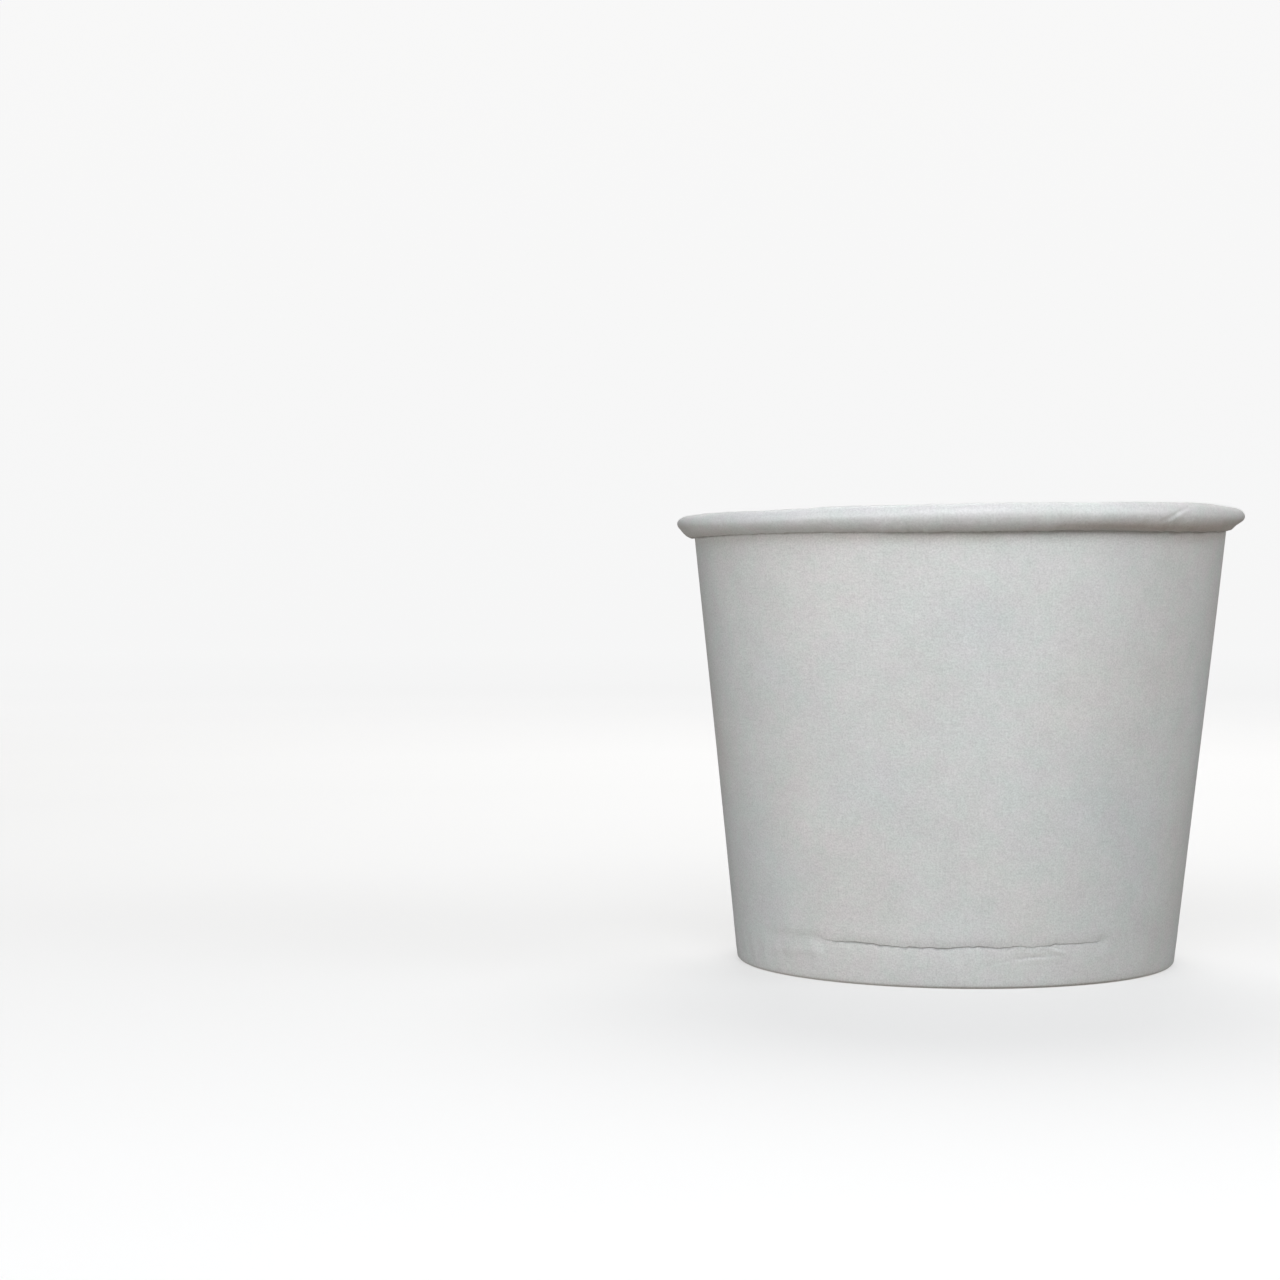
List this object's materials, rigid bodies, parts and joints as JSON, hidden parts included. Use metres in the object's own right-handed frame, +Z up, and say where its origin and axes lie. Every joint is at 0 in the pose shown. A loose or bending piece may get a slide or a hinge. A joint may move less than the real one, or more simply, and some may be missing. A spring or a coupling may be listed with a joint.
{
  "type": "paper ice cream cup",
  "caption": "Round tapered paper cup for ice cream, open at the top, with a rolled rim, a glued side seam and a recessed base held in a folded foot.",
  "frame": {"origin": "on the cup's axis, at the level of the flat ring that it stands on", "axes": "+Z up along the axis, towards the open rim; the picture looks along +Y, and the side seam is at the back, towards +Y"},
  "size_m": [0.096, 0.096, 0.077],
  "materials": {
    "wall_board": "white coated cup board, soft satin, faint fibre mottle",
    "base_board": "white coated cup board, soft satin, faint fibre mottle"
  },
  "bodies": {
    "root": {"side_wall": "wall_board", "base_disc": "base_board"}
  },
  "joints": []
}
